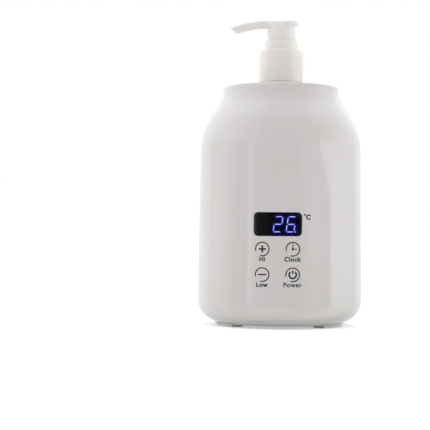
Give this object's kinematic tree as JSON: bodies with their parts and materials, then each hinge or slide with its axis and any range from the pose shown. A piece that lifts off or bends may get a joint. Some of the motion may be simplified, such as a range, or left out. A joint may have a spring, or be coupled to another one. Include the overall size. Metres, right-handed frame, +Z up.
{
  "type": "massage oil warmer",
  "caption": "White bottle-shaped electric warmer with a front display and touch keys; a pump bottle of oil stands in its heated cup and lifts out through the rim.",
  "frame": {"origin": "on the table, under the middle of the round body", "axes": "+Z up along the axis of body and pump, -Y to the front with the display, -X along the spout at rest"},
  "size_m": [0.1046, 0.1045, 0.1945],
  "materials": {
    "shell_plastic": "glossy moulded white",
    "pump_plastic": "smooth moulded white",
    "bottle_plastic": "blown white, soft sheen",
    "pump_inner_plastic": "natural moulded",
    "smoked_lens": "polished black",
    "lit_blue": "glowing",
    "unlit_segment": "matt",
    "display_black": "matt black",
    "cup_aluminium": "drawn, satin",
    "heater_film": "amber film",
    "insulation_felt": "pale fibre wrap",
    "silicone": "matt grey",
    "circuit_board": "green solder mask",
    "chip_black": "matt black",
    "connector_ivory": "moulded",
    "spring_steel": "drawn wire",
    "plated_steel": "zinc plated",
    "inlet_black": "matt black",
    "sensor_brass": "plain",
    "fuse_ceramic": "plain",
    "lead_red": "soft",
    "lead_black": "soft",
    "lead_white": "soft"
  },
  "bodies": {
    "warmer": {"outer_shell": "shell_plastic", "base_cover": "shell_plastic", "cup_cushion": "silicone", "heater_cup": "cup_aluminium", "cup_seal": "silicone", "heater_band": "heater_film", "insulation_sleeve": "insulation_felt", "thermistor": "sensor_brass", "thermal_fuse": "fuse_ceramic", "fuse_clip": "spring_steel", "control_board": "circuit_board", "board_parts": "chip_black", "lead_connectors": "connector_ivory", "display_module": "display_black", "lit_segments": "lit_blue", "dark_segments": "unlit_segment", "display_window": "smoked_lens", "touch_springs": "spring_steel", "board_screws": "plated_steel", "base_screws": "plated_steel", "power_inlet": "inlet_black", "inlet_nut": "plated_steel", "power_leads": "lead_red", "sensor_leads": "lead_black", "heater_leads": "lead_white"},
    "oil_bottle": {"bottle": "bottle_plastic", "neck_ring": "pump_plastic"},
    "pump_engine": {"pump_housing": "pump_inner_plastic", "neck_gasket": "silicone", "dip_tube": "pump_inner_plastic", "ball_cage": "pump_inner_plastic", "pump_collar": "pump_plastic", "pump_spring": "spring_steel"},
    "screw_cap": {"closure": "pump_plastic"},
    "plunger": {"stem": "pump_inner_plastic"},
    "pump_piston": {"piston": "pump_inner_plastic"},
    "pump_head": {"actuator": "pump_plastic"},
    "valve_ball": {"inlet_ball": "spring_steel"}
  },
  "joints": [
    {"name": "bottle_lift", "type": "slide", "parent": "warmer", "child": "oil_bottle", "axis": [0, 0, 1], "range_m": [0, 0.15]},
    {"name": "pump_rise", "type": "slide", "parent": "oil_bottle", "child": "pump_engine", "axis": [0, 0, 1], "range_m": [0, 0.0048]},
    {"name": "cap_turn", "type": "hinge", "parent": "pump_engine", "child": "screw_cap", "pos_m": [0, 0, 0.165], "axis": [0, 0, 1], "range_deg": [0, 540]},
    {"name": "pump_press", "type": "slide", "parent": "pump_engine", "child": "plunger", "axis": [0, 0, -1], "range_m": [0, 0.007], "stiffness_N_per_m": 850, "springref_m": -0.005, "deforming": ["pump_spring"]},
    {"name": "head_swivel", "type": "hinge", "parent": "plunger", "child": "pump_head", "pos_m": [0, 0, 0.185], "axis": [0, 0, 1], "continuous": true},
    {"name": "piston_slip", "type": "slide", "parent": "plunger", "child": "pump_piston", "axis": [0, 0, 1], "range_m": [0, 0.0008]},
    {"name": "ball_lift", "type": "slide", "parent": "pump_engine", "child": "valve_ball", "axis": [0, 0, 1], "range_m": [0, 0.0012]}
  ],
  "couplings": [
    {"joint": "pump_rise", "follows": "cap_turn", "m_per_rad": 0.00050532}
  ]
}
